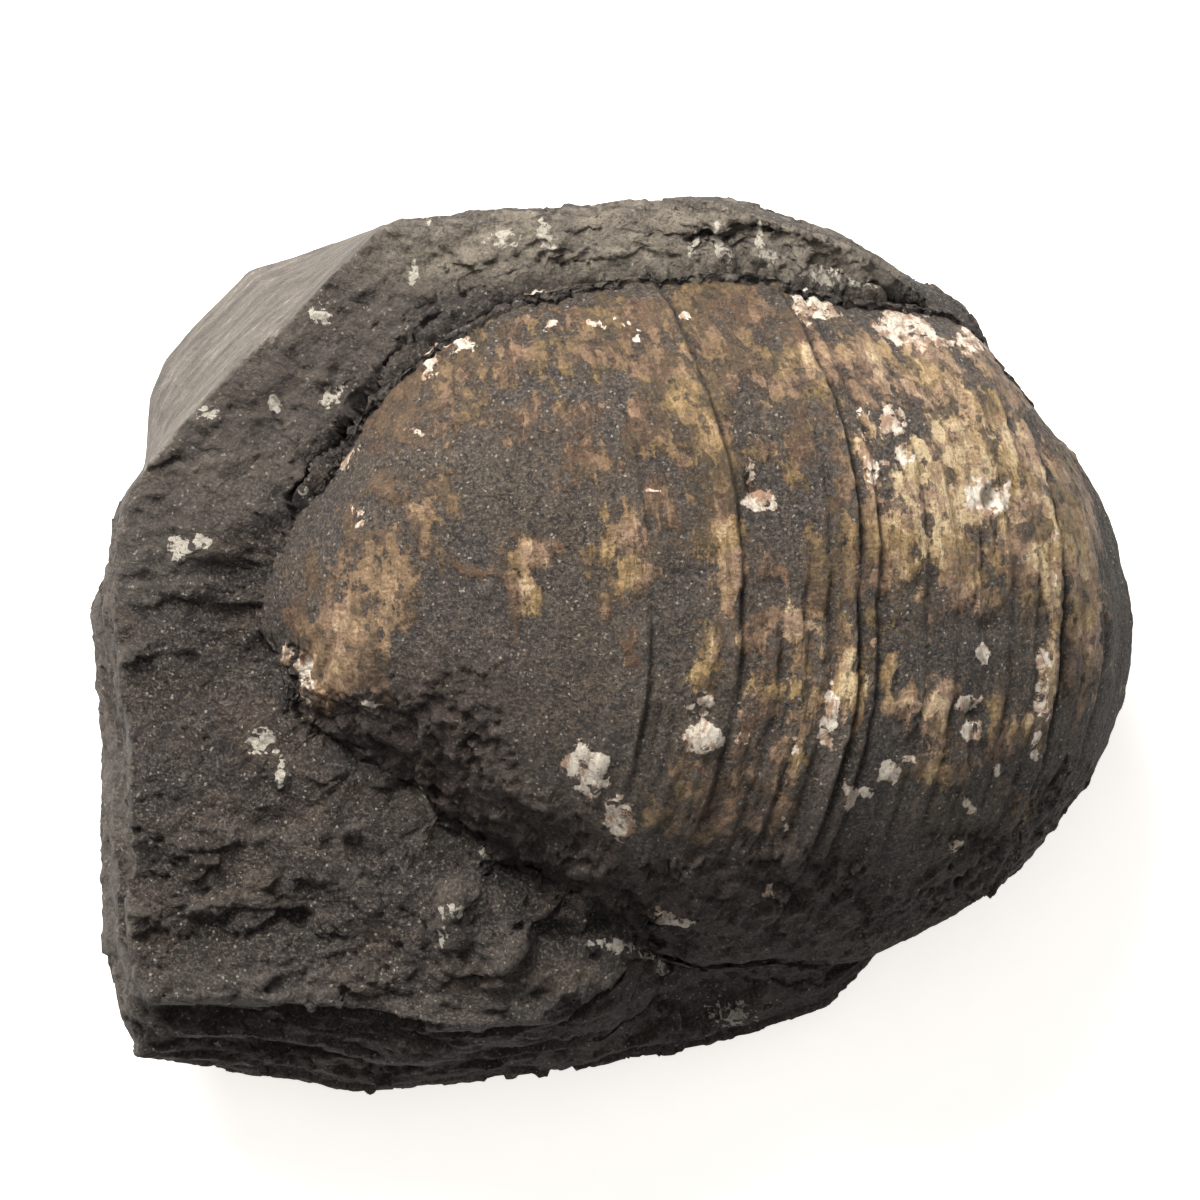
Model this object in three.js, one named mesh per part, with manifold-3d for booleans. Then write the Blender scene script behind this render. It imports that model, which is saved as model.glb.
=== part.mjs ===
// A fossil brachiopod: one strongly domed valve with its rock filling, still set in a broken block of
// dark shaly limestone. Two pieces: the block, and the valve that sits in a socket of its own shape.
// Millimetres. +X runs from the beak towards the shell's outer margin, +Y across the shell, +Z up.
// The origin is below the middle of the specimen, on the surface that it rests on.
import * as THREE from "three";
import { mergeVertices } from "three/addons/utils/BufferGeometryUtils.js";
import Module from "manifold-3d";

const LENGTH = 50; // block's left side to shell margin
const WIDTH = 42.7; // across the shell and the block
const HEIGHT = 25; // resting face to the top of the dome
const RIM_HEIGHT = 9; // shell margin above the resting face
const BELLY = [3, 1.6, 8]; // lowest point of the valve's hidden side
const DISH = { inward: 0.45, sunk: 0.72 }; // the ring of the hidden side between its edge and the belly
const SOCKET_GAP = 0.45; // between the valve and the block around it

const VALVE_FACES = { spacing: 1.25, across: 34 }; // between cross-sections, and across each of them
const SOCKET_FACES = { spacing: 2, across: 18 };
const GROWTH_CURVE_POWER = 2.2; // how full a growth curve is in plan
const LOWER_SIDE = { flat: 3.2, steep: 0.67 }; // a marked shoulder with a steep flank below it
const UPPER_SIDE = { flat: 2.4, steep: 0.56 }; // evenly rounded

// The valve's edge from the beak round the upper side, and from the beak round the lower side: x, y, z.
const BEAK = [-15.7, -2.1, 14];
const UPPER_EDGE = [
  BEAK, [-17, 0.2, 13.9], [-17.3, 2.6, 13.7], [-16.2, 5.5, 13.4], [-14, 8.8, 13], [-11.9, 12, 12.7],
  [-9.7, 14.4, 12.4], [-6.8, 16.7, 12.1], [-3.5, 18.2, 11.9], [0.4, 18.9, 11.7], [4.2, 19, 11.4],
  [8.1, 18.4, 11], [11.9, 17.3, 10.5], [15.8, 16, 9.8], [18.7, 13, RIM_HEIGHT],
];
const LOWER_EDGE = [
  BEAK, [-15, -3.9, 13.4], [-12.6, -5.8, 12.6], [-8.8, -8.2, 11.8], [-5.4, -11.3, 11], [-2.5, -13.5, 10.4],
  [0.4, -14.7, 10], [4.2, -15.5, 9.6], [8.1, -15.4, 9.4], [11.4, -15.3, 9.2], [13.1, -14.8, 9.1],
  [16.7, -12.9, RIM_HEIGHT], [19, -11.3, RIM_HEIGHT],
];

// Growth stages: where a growth curve crosses the shell's mid line (x), how far along the upper and the
// lower edge it ends (0 beak, 1 outer corner), and how high the shell's crest is there.
const STAGES = [
  { x: -15.7, upper: 0, lower: 0, crest: 14 },
  { x: -15, upper: 0.1, lower: 0.03, crest: 17.4 },
  { x: -13.1, upper: 0.24, lower: 0.09, crest: 20.4 },
  { x: -10.2, upper: 0.35, lower: 0.18, crest: 22.6 },
  { x: -4.4, upper: 0.455, lower: 0.35, crest: 24.6 },
  { x: 1.8, upper: 0.545, lower: 0.46, crest: HEIGHT },
  { x: 6.1, upper: 0.61, lower: 0.52, crest: 24.5 },
  { x: 11.8, upper: 0.735, lower: 0.665, crest: 23 },
  { x: 17, upper: 0.86, lower: 0.81, crest: 20.4 },
  { x: 21.3, upper: 0.96, lower: 0.93, crest: 16.9 },
  { x: 23.6, upper: 0.985, lower: 0.97, crest: 13.6 },
  { x: LENGTH / 2, upper: 1, lower: 1, crest: RIM_HEIGHT },
];
// Where the growth lines cross the shell's mid line, and how far the shell steps down there.
const GROWTH_LINES = [
  { x: -10.2, step: 0 }, { x: -4.4, step: 0.12 }, { x: 1.8, step: 0.3 }, { x: 6.1, step: 0.4 },
  { x: 11.8, step: 0.4 }, { x: 12.9, step: 0.25 }, { x: 17, step: 0.15 }, { x: 21.3, step: 0.4 },
];
const LINE_WIDTH = 0.2; // plan width of the step at a growth line

// The block's outline seen from above, where it is widest: x, y, z. It passes under the shell on the right.
const OUTLINE = [
  [-25, 1.4, 5], [-24.2, 3.1, 5], [-24, 4.8, 5], [-23.8, 6.7, 5.4], [-22.6, 8.6, 6], [-22.5, 10.3, 6],
  [-22.4, 12, 6], [-21.7, 13.7, 6], [-20.3, 15.4, 6], [-17.6, 18.1, 6], [-15.5, 18.7, 6], [-13.6, 19.4, 6],
  [-11.1, 20.3, 6], [-7.5, 20.5, 6], [-6.8, 20.8, 6], [-2.5, 21, 6], [1.3, 21.2, 6], [4.7, 21.35, 6],
  [7.1, 20.8, 6], [8.6, 20.4, 6], [11, 19.5, 6], [12.9, 18.7, 6], [15.3, 17.3, 6], [17, 16.3, 6],
  [17.8, 15.1, 6], [18.6, 12.9, 6], [19.8, 11.2, 6], [21.3, 8.6, 6], [22.4, 5.2, 6], [23, 1.4, 6],
  [22.3, -2.6, 6], [21, -6.4, 5.6], [19, -9.2, 5], [16.4, -11.4, 4.4], [13.9, -13.6, 4], [12.4, -15.4, 3.6],
  [10.5, -17.2, 3.4], [7.6, -18.3, 3.4], [4.2, -19.2, 3.6], [0.4, -19.9, 4], [-2.5, -20.7, 4.2],
  [-6.8, -21.2, 4.4], [-11.4, -21.35, 4.4], [-15, -20.9, 4.4], [-17.9, -20.6, 4.4], [-20.8, -20.1, 4.4],
  [-23.2, -19.9, 4.4], [-23, -19.3, 4.6], [-23.6, -18.1, 5], [-24.3, -15.2, 5], [-24.4, -12.3, 5],
  [-24.5, -9.9, 5], [-24.4, -7.5, 5], [-24.2, -5.1, 5], [-24.7, -0.3, 5],
];
// The edge where the block's upper face breaks to its sides: x, y. Its height follows the upper face.
const SHOULDER = [
  [-24, 2.1], [-23.6, 4.8], [-23.2, 6.9], [-22.5, 8.4], [-18.4, 13], [-15, 16], [-12.8, 18.4], [-11.1, 20.1],
  [-7.5, 20.2], [-2.5, 20.6], [1.3, 20.8], [4.7, 21], [7.1, 20.4], [11, 19.1], [15, 17], [16.8, 16],
  [17.5, 14.9], [17.9, 12.9], [18.2, 10.6], [19.3, 7.9], [20.2, 4.6], [20.6, 1.2], [19.8, -2.6], [18.4, -6],
  [16.3, -8.6], [13.9, -10.9], [12.2, -12.9], [10.5, -14.3], [4.2, -15.7], [1.8, -16.5], [-1.1, -17.2],
  [-2.7, -17.8], [-8.3, -18.3], [-12, -17.4], [-17.5, -16.9], [-22.7, -17], [-23.1, -12.3], [-23.1, -9.9],
  [-23.2, -7.5], [-23.1, -5.1], [-23.5, -0.3],
];
// The block's side below its shoulder: how far up the side each loop of points is, how far out a plain
// slope would have it, and how much further out the broken beds stand there.
const SIDE = [
  { up: 0.34, out: 0.66, bed: 0.3 },
  { up: 0.44, out: 0.56, bed: -0.04 },
  { up: 0.68, out: 0.32, bed: 0.28 },
  { up: 0.8, out: 0.2, bed: -0.1 },
];
// The flat spot that the block rests on: x, y.
const RESTING_FACE = [
  [13, 2], [11.4, 8], [5.5, 11.5], [-2, 10.4], [-8.6, 11.6], [-14, 7.2], [-15.4, 0.4], [-13, -7.4],
  [-6.6, -11.6], [1.4, -10], [8.6, -9.6], [12.6, -4.6],
];
const OUTLINE_STEP = 1.7; // longest face along the outline
const RINGS = [0.955, 0.91, 0.865, 0.82, 0.77, 0.72, 0.66, 0.6, 0.52, 0.42, 0.2]; // in the upper face
// The curved-in underside: how far in towards the resting face, and how far up towards the widest loop.
const UNDERSIDE = [
  { inward: 0.45, up: 0.3, rough: 0.8 },
  { inward: 0.1, up: 0.68, rough: 0.6 },
];

// Lumps, plates and hollows on the block's upper face: centre, half widths, turn in degrees, height.
const RELIEF = [
  { x: -7.5, y: -12.5, wide: 0.9, long: 2.4, turn: 8, rise: 1.1 },
  { x: -4.8, y: -15.6, wide: 0.9, long: 2.6, turn: -30, rise: 1 },
  { x: -0.6, y: -14.6, wide: 2.4, long: 1.1, turn: 8, rise: 0.9 },
  { x: -5.1, y: -9.9, wide: 0.9, long: 2.3, turn: 0, rise: -0.9 },
  { x: -8.6, y: -8.4, wide: 1.3, long: 1.1, turn: 10, rise: 0.5 },
  { x: -20, y: 10.4, wide: 1.6, long: 1.3, turn: 0, rise: 0.6 },
  { x: -13.6, y: 13, wide: 1.1, long: 2.8, turn: -42, rise: 0.7 },
  { x: -18.6, y: 0.2, wide: 2.4, long: 3.6, turn: 0, rise: -0.7 },
  { x: -15, y: -12.5, wide: 0.9, long: 0.8, turn: 0, rise: -0.6 },
  { x: -13.2, y: -11.6, wide: 2.6, long: 1, turn: 6, rise: 0.5 },
  { x: -20.3, y: -8.4, wide: 2, long: 2.6, turn: 0, rise: 0.4 },
  { x: -21.2, y: -14, wide: 1.2, long: 1.5, turn: 0, rise: -0.6 },
  { x: 0.9, y: 19.6, wide: 3.2, long: 0.7, turn: 4, rise: -0.7 },
  { x: 4.7, y: 19.2, wide: 0.7, long: 0.9, turn: 0, rise: -0.7 },
  { x: 6.9, y: 19, wide: 0.8, long: 0.9, turn: 0, rise: -0.8 },
];

// The plain that the relief stands on: its height over the origin, and its slopes along x and y.
const PLAIN = { height: 16.2, alongX: 0.035, alongY: 0.05 };
const COLLAR_FALL = { from: 3, curve: 0.03 }; // the band outside the shell's upper edge drops to the right
const FLOOR_FALL = { from: 2, curve: 0.022 }; // and so does the rock under the shell
const LOWER_FALL = 4.6; // below the shell's lower flank
const GROOVE = { depth: 2.1, width: 0.85 }; // along the shell's upper edge
const GRAIN = [
  { alongX: 0.4, alongY: 0.7, layer: 3, rise: 0.3 },
  { alongX: 0.9, alongY: 1.6, layer: 9, rise: 0.18 },
];

const BLOCK_COLOUR = 0x4b4643;
const SHELL_COLOUR = 0x7d6548;

const wasm = await Module();
wasm.setup();

const { lerp, smoothstep, degToRad } = THREE.MathUtils;

// A repeatable pseudo-random number from -1 to 1 for each whole-number point.
function hash(i, j, k) {
  const s = Math.sin(i * 127.1 + j * 311.7 + k * 74.7) * 43758.5453;
  return 2 * (s - Math.floor(s)) - 1;
}

// Smooth noise from -1 to 1.
function noise(x, y, z) {
  const cell = [x, y, z].map(Math.floor);
  const [fx, fy, fz] = [x, y, z].map((c, n) => smoothstep(c - cell[n], 0, 1));
  const edge = (j, k) =>
    lerp(hash(cell[0], cell[1] + j, cell[2] + k), hash(cell[0] + 1, cell[1] + j, cell[2] + k), fx);
  return lerp(lerp(edge(0, 0), edge(1, 0), fy), lerp(edge(0, 1), edge(1, 1), fy), fz);
}

// The value of a table of [key, value] rows at a key, along a smooth curve through all the rows.
function lookUp(rows, key) {
  const slope = (i) => {
    const [before, after] = [rows[Math.max(i - 1, 0)], rows[Math.min(i + 1, rows.length - 1)]];
    return (after[1] - before[1]) / (after[0] - before[0]);
  };
  const next = Math.min(Math.max(rows.findIndex(([k]) => k >= key), 1), rows.length - 1);
  const [[k0, v0], [k1, v1]] = [rows[next - 1], rows[next]];
  const [run, t] = [k1 - k0, (key - k0) / (k1 - k0)];
  const bend = (slope(next - 1) * run - (v1 - v0)) * (1 - t) - (slope(next) * run - (v1 - v0)) * t;
  return lerp(v0, v1, t) + t * (1 - t) * bend;
}

// Gathers triangles between points, then gives them as a geometry.
class Surface {
  corners = [];

  triangle(a, b, c) {
    for (const p of [a, b, c]) this.corners.push(p.x, p.y, p.z);
  }

  // A band between two rows of points of the same length.
  band(row, next, closed) {
    const count = row.length;
    for (let i = 0; i < (closed ? count : count - 1); i++) {
      const j = (i + 1) % count;
      this.triangle(row[i], row[j], next[j]);
      this.triangle(row[i], next[j], next[i]);
    }
  }

  // A closed row of points joined to one point.
  fan(row, tip) {
    row.forEach((p, i) => this.triangle(p, row[(i + 1) % row.length], tip));
  }

  geometry() {
    const made = new THREE.BufferGeometry();
    made.setAttribute("position", new THREE.Float32BufferAttribute(this.corners, 3));
    return made;
  }
}

function toSolid(geometry) {
  const merged = mergeVertices(geometry, 1e-3);
  return new wasm.Manifold(
    new wasm.Mesh({
      numProp: 3,
      vertProperties: new Float32Array(merged.attributes.position.array),
      triVerts: new Uint32Array(merged.index.array),
    }),
  );
}

function toGeometry(solid) {
  const mesh = solid.getMesh();
  const made = new THREE.BufferGeometry();
  made.setAttribute("position", new THREE.BufferAttribute(mesh.vertProperties, 3));
  made.setIndex(new THREE.BufferAttribute(mesh.triVerts, 1));
  return made;
}

const asCurve = (points) =>
  new THREE.CatmullRomCurve3(points.map((p) => new THREE.Vector3(...p)), false, "centripetal");
const upperEdge = asCurve(UPPER_EDGE);
const lowerEdge = asCurve(LOWER_EDGE);

// How much thicker the shell is at a growth stage: each lamella swells towards its edge, then steps down.
function lamella(x) {
  const next = GROWTH_LINES.findIndex((line) => x <= line.x);
  if (next < 1) return 0;
  const [from, to] = [GROWTH_LINES[next - 1], GROWTH_LINES[next]];
  return to.step * ((x - from.x) / (to.x - from.x)) ** 2;
}

// One column of the growth stages at any place along the shell.
const stage = (x, column) => lookUp(STAGES.map((s) => [s.x, s[column]]), x);

// A point of the domed outer surface: x is the growth stage, across runs from the lower edge to the upper.
function domePoint(x, across) {
  const low = lowerEdge.getPointAt(stage(x, "lower"));
  const high = upperEdge.getPointAt(stage(x, "upper"));
  const off = Math.abs(2 * across - 1);
  const side = across < 0.5 ? LOWER_SIDE : UPPER_SIDE;
  const bulge = x - (low.x + high.x) / 2;
  const rise = stage(x, "crest") + lamella(x) - (low.z + high.z) / 2;
  const point = low.lerp(high, across);
  point.x += bulge * (1 - off ** GROWTH_CURVE_POWER);
  point.z += rise * (1 - off ** side.flat) ** side.steep;
  return point;
}

// The growth stages that get a cross-section. A stepped valve has a close pair at every growth line.
function stations(spacing, stepped) {
  const lines = stepped ? GROWTH_LINES.filter((line) => line.step > 0).map((line) => line.x) : [];
  const places = [...new Set([...STAGES.map((s) => s.x), ...lines])].sort((a, b) => a - b);
  const list = [];
  for (let n = 1; n < places.length; n++) {
    const from = places[n - 1] + (lines.includes(places[n - 1]) ? LINE_WIDTH : 0);
    const to = places[n];
    const edgeRun = (stage(to, "upper") - stage(from, "upper")) * upperEdge.getLength();
    const parts = Math.ceil(Math.max(to - from, edgeRun) / spacing);
    const first = lines.includes(places[n - 1]) ? 0 : 1;
    for (let i = first; i <= parts; i++) list.push(lerp(from, to, i / parts));
  }
  return list;
}

// The whole valve: the dome, and a shallow dished underside that closes it.
function valveGeometry(spacing, across, stepped) {
  const shape = new Surface();
  const sides = Array.from({ length: across + 1 }, (_, i) => (1 - Math.cos((Math.PI * i) / across)) / 2);
  const rows = stations(spacing, stepped).map((x) => sides.map((side) => domePoint(x, side)));
  const beak = new THREE.Vector3(...BEAK);
  for (let i = 0; i < across; i++) shape.triangle(rows[0][i], rows[0][i + 1], beak);
  for (let n = 1; n < rows.length; n++) shape.band(rows[n], rows[n - 1], false);
  const lower = rows.map((row) => row[0]);
  const margin = rows.at(-1).slice(1, across);
  const upper = rows.map((row) => row[across]).reverse();
  const rim = [beak, ...lower, ...margin, ...upper];
  const belly = new THREE.Vector3(...BELLY);
  const dish = rim.map((p) => {
    const q = p.clone().lerp(belly, DISH.inward);
    q.z = lerp(p.z, belly.z, DISH.sunk);
    return q;
  });
  shape.band(dish, rim, true);
  shape.fan(dish.slice().reverse(), belly);
  return shape.geometry();
}

// Distance in plan from a point to the valve's upper edge.
const edgeSamples = upperEdge.getSpacedPoints(80);
const fromUpperEdge = (x, y) => Math.min(...edgeSamples.map((p) => Math.hypot(p.x - x, p.y - y)));

// Height of the block's upper face: a tilted plain, a collar with a groove round the shell, and its relief.
function upperFace(x, y) {
  const onCollar = smoothstep(y, 0, 12);
  const belowShell = smoothstep(x, -2, 5) * smoothstep(-y, 10, 14.5);
  let z = PLAIN.height + PLAIN.alongX * x + PLAIN.alongY * y;
  z -= onCollar * COLLAR_FALL.curve * Math.max(x - COLLAR_FALL.from, 0) ** 2;
  z -= (1 - onCollar) * FLOOR_FALL.curve * Math.max(x - FLOOR_FALL.from, 0) ** 2;
  z -= belowShell * LOWER_FALL;
  z -= GROOVE.depth * Math.exp(-((fromUpperEdge(x, y) / GROOVE.width) ** 2)) * smoothstep(y, 3, 13);
  for (const r of RELIEF) {
    const turn = degToRad(r.turn);
    const along = (x - r.x) * Math.sin(turn) + (y - r.y) * Math.cos(turn);
    const aside = (x - r.x) * Math.cos(turn) - (y - r.y) * Math.sin(turn);
    z += r.rise * Math.exp(-((aside / r.wide) ** 2) - (along / r.long) ** 2);
  }
  for (const g of GRAIN) z += g.rise * noise(x * g.alongX, y * g.alongY, g.layer);
  return z;
}

// Where a ray from the origin at a given bearing leaves a closed loop of points.
function crossing(loop, bearing) {
  const ray = new THREE.Vector2(Math.cos(bearing), Math.sin(bearing));
  for (let i = 0; i < loop.length; i++) {
    const [a, b] = [loop[i], loop[(i + 1) % loop.length]];
    const [sideA, sideB] = [a, b].map((p) => ray.x * p[1] - ray.y * p[0]);
    if (sideA * sideB > 0 || sideA === sideB) continue;
    const part = sideA / (sideA - sideB);
    const [x, y] = [lerp(a[0], b[0], part), lerp(a[1], b[1], part)];
    if (x * ray.x + y * ray.y > 0) return new THREE.Vector3(x, y, lerp(a[2] ?? 0, b[2] ?? 0, part));
  }
  throw new Error("the loop doesn't go round the origin");
}

// The outline's own corners, with long edges divided.
function outlinePoints() {
  const list = [];
  OUTLINE.forEach((a, i) => {
    const b = OUTLINE[(i + 1) % OUTLINE.length];
    const parts = Math.ceil(Math.hypot(b[0] - a[0], b[1] - a[1]) / OUTLINE_STEP);
    for (let n = 0; n < parts; n++) {
      list.push(new THREE.Vector3(...a.map((c, axis) => lerp(c, b[axis], n / parts))));
    }
  });
  return list.reverse();
}

// How plainly the beds stand out of the block's side: not at all on the smooth break at the upper left.
function bedding(x, y) {
  const smoothBreak = smoothstep(-x, 8, 12) * smoothstep(y, 2, 6);
  return (1 - smoothBreak) * (0.75 + 0.45 * noise(x * 0.18, y * 0.18, 2));
}

// The block before the socket is cut: loops of points from the resting face up to the middle of the top.
function blockGeometry() {
  const widest = outlinePoints();
  const bearings = widest.map((p) => Math.atan2(p.y, p.x));
  const resting = bearings.map((b) => crossing(RESTING_FACE, b));
  const keel = UNDERSIDE.map(({ inward, up, rough }) =>
    widest.map((p, i) => {
      const q = p.clone().lerp(resting[i], inward);
      q.z = p.z * up + rough * noise(p.x * 0.3, p.y * 0.3, 5);
      return q;
    }),
  );
  const shoulder = bearings.map((b) => {
    const p = crossing(SHOULDER, b);
    p.z = upperFace(p.x, p.y);
    return p;
  });
  const side = SIDE.map(({ up, out, bed }) =>
    widest.map((p, i) => {
      const q = shoulder[i].clone().lerp(p, out + bed * bedding(p.x, p.y));
      q.z = lerp(p.z, shoulder[i].z, up + 0.05 * noise(p.x * 0.3, p.y * 0.3, 10 * up));
      return q;
    }),
  );
  const top = RINGS.map((ring) =>
    shoulder.map((p) => new THREE.Vector3(p.x * ring, p.y * ring, upperFace(p.x * ring, p.y * ring))),
  );
  const loops = [resting, ...keel, widest, ...side, shoulder, ...top];
  const shape = new Surface();
  shape.fan(resting.slice().reverse(), new THREE.Vector3(0, 0, 0));
  for (let n = 1; n < loops.length; n++) shape.band(loops[n - 1], loops[n], true);
  shape.fan(loops.at(-1), new THREE.Vector3(0, 0, upperFace(0, 0)));
  return shape.geometry();
}

// The valve's own shape grown by the gap on every side, as the tool that cuts its socket.
function socketTool() {
  const tool = mergeVertices(valveGeometry(SOCKET_FACES.spacing, SOCKET_FACES.across, false), 1e-3);
  tool.computeVertexNormals();
  const { position, normal } = tool.attributes;
  for (let i = 0; i < position.count; i++) {
    const point = new THREE.Vector3().fromBufferAttribute(position, i);
    point.addScaledVector(new THREE.Vector3().fromBufferAttribute(normal, i), SOCKET_GAP);
    position.setXYZ(i, point.x, point.y, point.z);
  }
  tool.deleteAttribute("normal");
  return tool;
}

const block = toGeometry(toSolid(blockGeometry()).subtract(toSolid(socketTool())));
const valve = toGeometry(toSolid(valveGeometry(VALVE_FACES.spacing, VALVE_FACES.across, true)));

function piece(name, geometry, color, roughness) {
  const made = new THREE.Mesh(geometry, new THREE.MeshStandardMaterial({ color, roughness, metalness: 0 }));
  made.name = name;
  return made;
}

const specimen = new THREE.Group();
specimen.add(piece("matrix_block", block, BLOCK_COLOUR, 0.85));
specimen.add(piece("brachiopod_valve", valve, SHELL_COLOUR, 0.6));

// Centre the whole specimen over the origin, standing on its resting face.
const box = new THREE.Box3().setFromObject(specimen);
const centre = box.getCenter(new THREE.Vector3());
specimen.scale.set(LENGTH / (box.max.x - box.min.x), WIDTH / (box.max.y - box.min.y), 1);
specimen.position.set(-centre.x * specimen.scale.x, -centre.y * specimen.scale.y, -box.min.z);

export default specimen;
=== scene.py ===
import itertools
import math

import bpy
import numpy as np
from mathutils import Matrix, Vector
from mathutils.kdtree import KDTree


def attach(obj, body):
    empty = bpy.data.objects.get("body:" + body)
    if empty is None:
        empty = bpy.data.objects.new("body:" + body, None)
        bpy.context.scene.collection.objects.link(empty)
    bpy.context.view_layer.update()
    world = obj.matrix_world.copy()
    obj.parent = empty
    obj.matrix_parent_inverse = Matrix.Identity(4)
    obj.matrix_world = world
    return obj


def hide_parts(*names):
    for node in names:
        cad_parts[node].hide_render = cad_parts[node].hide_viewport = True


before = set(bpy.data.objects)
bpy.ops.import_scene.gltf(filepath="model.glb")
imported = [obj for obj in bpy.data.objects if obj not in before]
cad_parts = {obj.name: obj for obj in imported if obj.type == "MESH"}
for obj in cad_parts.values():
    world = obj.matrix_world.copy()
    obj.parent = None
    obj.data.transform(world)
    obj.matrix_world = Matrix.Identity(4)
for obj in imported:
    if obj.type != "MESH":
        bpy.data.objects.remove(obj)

# The looks of a domed fossil shell in a broken block of dark shaly rock. Shapes are worked out in
# millimetres and written to Blender in metres. X runs from the beak to the outer margin, Z is up.
MM = 0.001
MILLIMETRES = Matrix.Scale(1 / MM, 4)
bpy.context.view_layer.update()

# The shell's edge, from the beak round its upper side and round its lower side: x, y, z.
BEAK = (-15.7, -2.1, 14)
UPPER_EDGE = (
    BEAK, (-17, 0.2, 13.9), (-17.3, 2.6, 13.7), (-16.2, 5.5, 13.4), (-14, 8.8, 13), (-11.9, 12, 12.7),
    (-9.7, 14.4, 12.4), (-6.8, 16.7, 12.1), (-3.5, 18.2, 11.9), (0.4, 18.9, 11.7), (4.2, 19, 11.4),
    (8.1, 18.4, 11), (11.9, 17.3, 10.5), (15.8, 16, 9.8), (18.7, 13, 9),
)
LOWER_EDGE = (
    BEAK, (-15, -3.9, 13.4), (-12.6, -5.8, 12.6), (-8.8, -8.2, 11.8), (-5.4, -11.3, 11),
    (-2.5, -13.5, 10.4), (0.4, -14.7, 10), (4.2, -15.5, 9.6), (8.1, -15.4, 9.4), (11.4, -15.3, 9.2),
    (13.1, -14.8, 9.1), (16.7, -12.9, 9), (19, -11.3, 9),
)
# The lowest point of the shell's hidden side, and how far in and how far sunk the rings round it are.
BELLY = (3, 1.6, 8)
DISH_RINGS = ((0.12, 0.2), (0.3, 0.5), (0.55, 0.8))

# Growth stages: x on the mid line, place along the upper and the lower edge, height of the crest.
STAGES = (
    (-15.7, 0, 0, 14), (-15, 0.1, 0.03, 17.4), (-13.1, 0.24, 0.09, 20.4), (-10.2, 0.35, 0.18, 22.6),
    (-4.4, 0.455, 0.35, 24.6), (1.8, 0.545, 0.46, 25), (6.1, 0.61, 0.52, 24.5), (11.8, 0.735, 0.665, 23),
    (17, 0.86, 0.81, 20.4), (21.3, 0.96, 0.93, 16.9), (23.6, 0.985, 0.97, 13.6), (25, 1, 1, 9),
)
# How the growth lines curve, and how flat the dome is on top and how steep on each side.
GROWTH_CURVE_POWER = 2.2
LOWER_SIDE = (3.2, 0.67)
UPPER_SIDE = (2.4, 0.56)
# The shell mesh's cross-sections, and the faces across each.
STATIONS, ACROSS = 440, 210

# Growth lines: x on the mid line, height of the step, length of the swell before it, from and to across.
GROWTH_LINES = (
    (-4.6, 0.10, 1.2, 0.42, 0.60), (-3.7, 0.08, 0.9, 0.46, 0.62), (1.7, 0.18, 2.2, 0.24, 0.80),
    (6.1, 0.22, 2.6, 0.20, 0.95), (7.9, 0.08, 0.8, 0.15, 0.50), (9.2, 0.10, 0.9, 0.10, 0.55),
    (10.3, 0.09, 0.8, 0.10, 0.75), (11.7, 0.24, 1.1, 0.05, 0.97), (12.6, 0.16, 0.7, 0.05, 0.97),
    (14.9, 0.06, 1.4, 0.10, 0.80), (16.3, 0.05, 1.0, 0.20, 0.85), (17.5, 0.07, 1.0, 0.05, 0.90),
    (18.9, 0.05, 0.9, 0.05, 0.90), (20.1, 0.08, 0.8, 0.05, 0.92), (21.3, 0.30, 1.4, 0.02, 0.97),
    (22.4, 0.05, 0.8, 0.02, 0.97), (23.4, 0.10, 0.8, 0.02, 0.97), (24.2, 0.08, 0.7, 0.02, 0.97),
)

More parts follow.
